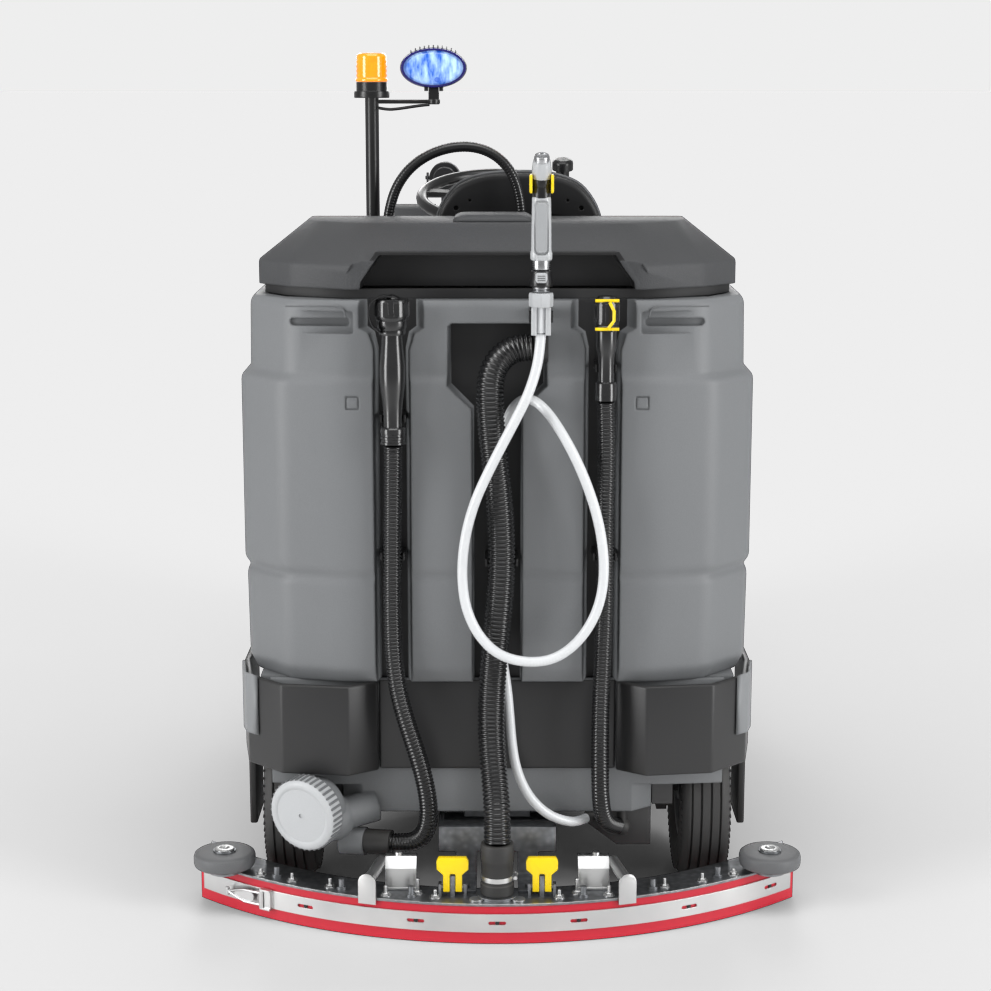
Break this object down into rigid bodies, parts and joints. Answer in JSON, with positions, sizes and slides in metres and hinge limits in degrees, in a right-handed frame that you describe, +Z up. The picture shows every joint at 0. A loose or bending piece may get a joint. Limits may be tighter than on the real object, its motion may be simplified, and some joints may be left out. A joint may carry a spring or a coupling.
{
  "type": "ride-on scrubber dryer",
  "caption": "Ride-on floor scrubber with a curved rear squeegee, hinged recovery tank lid, hanging hoses, twin disc brushes, steered drive wheel, seat, spray gun and beacon.",
  "frame": {"origin": "on the floor, under the middle of the machine's outline", "axes": "+Z up; +Y forward, so the squeegee is at -Y; +X to the right seen from behind"},
  "size_m": [1.192, 1.86, 1.675],
  "materials": {
    "frame_steel": "satin powder coat",
    "tank_grey": "rotomoulded fine grain",
    "lid_anthracite": "coarse moulded grain",
    "bumper_black": "satin black",
    "pad_grey": "satin grey",
    "black_rubber": "matt rubber",
    "tyre_rubber": "grooved tread",
    "rim_grey": "satin grey",
    "black_plastic": "semi-gloss black",
    "battery_black": "moulded case",
    "cowl_grey": "rotomoulded fine grain",
    "headlight_glass": "clear lens",
    "amber_lens": "lit amber lens",
    "hose_black": "glossy corrugated",
    "hose_clear": "braided translucent",
    "cable_black": "sheathed cable",
    "gun_steel": "chromed and grey",
    "galvanised": "galvanised sheet",
    "squeegee_red": "red polyurethane",
    "stainless": "brushed stainless",
    "roller_grey": "grey wheel",
    "lever_yellow": "yellow",
    "cap_grey": "light grey cap",
    "seat_vinyl": "black vinyl",
    "brush_black": "brush body",
    "stop_red": "red button",
    "blue_lens": "black lamp housing"
  },
  "bodies": {
    "root": {"chassis_frame": "frame_steel", "fresh_tank": "tank_grey", "recovery_tank": "tank_grey", "rear_bumper": "bumper_black", "corner_pads": "pad_grey", "mud_flaps": "black_rubber", "battery_pack": "battery_black", "seat_console": "cowl_grey", "front_cowl": "cowl_grey", "footboard": "bumper_black", "dashboard": "lid_anthracite", "headlights": "headlight_glass", "beacon_post": "black_plastic", "beacon_lens": "amber_lens", "hose_clips": "black_plastic", "hose_fittings": "black_rubber", "suction_hose": "hose_black", "drain_hose": "hose_black", "level_hose": "hose_black", "spray_hose": "hose_clear", "arc_hose": "hose_black", "light_cable": "cable_black", "hose_grips": "black_plastic", "spray_gun": "gun_steel"},
    "tank_lid": {"tank_lid": "lid_anthracite", "turbine_cover": "lid_anthracite", "suction_turbine": "black_plastic"},
    "rear_wheel_left": {"wheel_left": "rim_grey", "tyre_left": "tyre_rubber"},
    "rear_wheel_right": {"wheel_right": "rim_grey", "tyre_right": "tyre_rubber"},
    "steering_fork": {"steering_fork": "frame_steel"},
    "drive_wheel": {"drive_wheel": "tyre_rubber"},
    "steering_wheel": {"steering_wheel": "black_plastic"},
    "steering_knob": {"steering_knob": "black_plastic"},
    "accelerator": {"accelerator_pedal": "black_rubber"},
    "brake": {"brake_pedal": "black_rubber"},
    "seat": {"seat_shell": "black_plastic", "seat_cushion": "seat_vinyl", "seat_back_cushion": "seat_vinyl"},
    "squeegee": {"squeegee_arm": "galvanised", "squeegee_plate": "galvanised", "squeegee_blades": "squeegee_red", "clamp_strap": "stainless", "hold_down_brackets": "stainless", "squeegee_cuff": "black_rubber"},
    "roller_left": {"roller_left": "roller_grey"},
    "roller_right": {"roller_right": "roller_grey"},
    "clamp_lever_left": {"clamp_lever_left": "lever_yellow"},
    "clamp_lever_right": {"clamp_lever_right": "lever_yellow"},
    "strap_latch": {"strap_latch": "stainless"},
    "drain_cap": {"drain_cap": "cap_grey"},
    "brush_deck": {"deck_housing": "bumper_black"},
    "brush_left": {"brush_left": "brush_black"},
    "brush_right": {"brush_right": "brush_black"},
    "emergency_stop": {"emergency_stop": "stop_red"},
    "key_switch": {"key_switch": "gun_steel"},
    "blue_light": {"blue_light": "blue_lens"},
    "work_light": {"work_light": "black_plastic"},
    "gun_trigger": {"gun_trigger": "black_plastic"}
  },
  "joints": [
    {"name": "rear_left_wheel_spin", "type": "hinge", "parent": "root", "child": "rear_wheel_left", "pos_m": [-0.413, -0.53, 0.19], "axis": [1, 0, 0], "continuous": true},
    {"name": "rear_right_wheel_spin", "type": "hinge", "parent": "root", "child": "rear_wheel_right", "pos_m": [0.413, -0.53, 0.19], "axis": [1, 0, 0], "continuous": true},
    {"name": "steering", "type": "hinge", "parent": "root", "child": "steering_wheel", "pos_m": [0, 0.3, 1.335], "axis": [0, -0.2588, 0.9659], "range_deg": [-450, 450]},
    {"name": "fork_yaw", "type": "hinge", "parent": "root", "child": "steering_fork", "pos_m": [0, 0.64, 0.3], "axis": [0, 0, 1], "range_deg": [-75, 75]},
    {"name": "drive_wheel_spin", "type": "hinge", "parent": "steering_fork", "child": "drive_wheel", "pos_m": [0, 0.64, 0.15], "axis": [1, 0, 0], "continuous": true},
    {"name": "knob_spin", "type": "hinge", "parent": "steering_wheel", "child": "steering_knob", "pos_m": [0.15509, 0.37831, 1.35598], "axis": [0, -0.2588, 0.9659], "continuous": true},
    {"name": "tank_lid_hinge", "type": "hinge", "parent": "root", "child": "tank_lid", "pos_m": [0, -0.41, 1.312], "axis": [-1, 0, 0], "range_deg": [0, 75]},
    {"name": "squeegee_lift", "type": "hinge", "parent": "root", "child": "squeegee", "pos_m": [0, -0.605, 0.18], "axis": [-1, 0, 0], "range_deg": [0, 5], "deforming": ["suction_hose"]},
    {"name": "left_roller_spin", "type": "hinge", "parent": "squeegee", "child": "roller_left", "pos_m": [-0.536, -0.745, 0.1], "axis": [0, 0, 1], "continuous": true},
    {"name": "right_roller_spin", "type": "hinge", "parent": "squeegee", "child": "roller_right", "pos_m": [0.536, -0.745, 0.1], "axis": [0, 0, 1], "continuous": true},
    {"name": "left_clamp_lever", "type": "hinge", "parent": "squeegee", "child": "clamp_lever_left", "pos_m": [-0.085, -0.885, 0.098], "axis": [1, 0, 0], "range_deg": [0, 70]},
    {"name": "right_clamp_lever", "type": "hinge", "parent": "squeegee", "child": "clamp_lever_right", "pos_m": [0.085, -0.885, 0.098], "axis": [1, 0, 0], "range_deg": [0, 70]},
    {"name": "strap_latch_swing", "type": "hinge", "parent": "squeegee", "child": "strap_latch", "pos_m": [-0.45869, -0.80626, 0.045], "axis": [0, 0, 1], "range_deg": [0, 100]},
    {"name": "drain_cap_turn", "type": "hinge", "parent": "root", "child": "drain_cap", "pos_m": [-0.377, -0.832, 0.22], "axis": [-0.4673, -0.8815, -0.068], "continuous": true},
    {"name": "deck_lift", "type": "slide", "parent": "root", "child": "brush_deck", "axis": [0, 0, 1], "range_m": [0, 0.06]},
    {"name": "left_brush_spin", "type": "hinge", "parent": "brush_deck", "child": "brush_left", "pos_m": [-0.225, 0.06, 0.06], "axis": [0, 0, 1], "continuous": true},
    {"name": "right_brush_spin", "type": "hinge", "parent": "brush_deck", "child": "brush_right", "pos_m": [0.225, 0.06, 0.06], "axis": [0, 0, 1], "continuous": true},
    {"name": "accelerator_press", "type": "hinge", "parent": "root", "child": "accelerator", "pos_m": [0.15, 0.445, 0.494], "axis": [-1, 0, 0], "range_deg": [0, 18]},
    {"name": "brake_press", "type": "hinge", "parent": "root", "child": "brake", "pos_m": [-0.15, 0.445, 0.494], "axis": [-1, 0, 0], "range_deg": [0, 18]},
    {"name": "seat_slide", "type": "slide", "parent": "root", "child": "seat", "axis": [0, 1, 0], "range_m": [0, 0.12]},
    {"name": "gun_trigger_squeeze", "type": "hinge", "parent": "root", "child": "gun_trigger", "pos_m": [0.08, -0.8455, 1.412], "axis": [1, 0, 0], "range_deg": [0, 6]},
    {"name": "emergency_stop_press", "type": "slide", "parent": "root", "child": "emergency_stop", "axis": [0, 0, -1], "range_m": [0, 0.005]},
    {"name": "key_turn", "type": "hinge", "parent": "root", "child": "key_switch", "pos_m": [0.1, 0.45, 1.15], "axis": [0, 0, -1], "range_deg": [0, 90]},
    {"name": "blue_light_tilt", "type": "hinge", "parent": "root", "child": "blue_light", "pos_m": [-0.128, -0.345, 1.594], "axis": [1, 0, 0], "range_deg": [-15, 15]},
    {"name": "work_light_tilt", "type": "hinge", "parent": "root", "child": "work_light", "pos_m": [-0.128, 0.6, 1.366], "axis": [1, 0, 0], "range_deg": [-15, 15]}
  ],
  "couplings": [
    {"joint": "fork_yaw", "follows": "steering", "ratio": 0.16667}
  ]
}
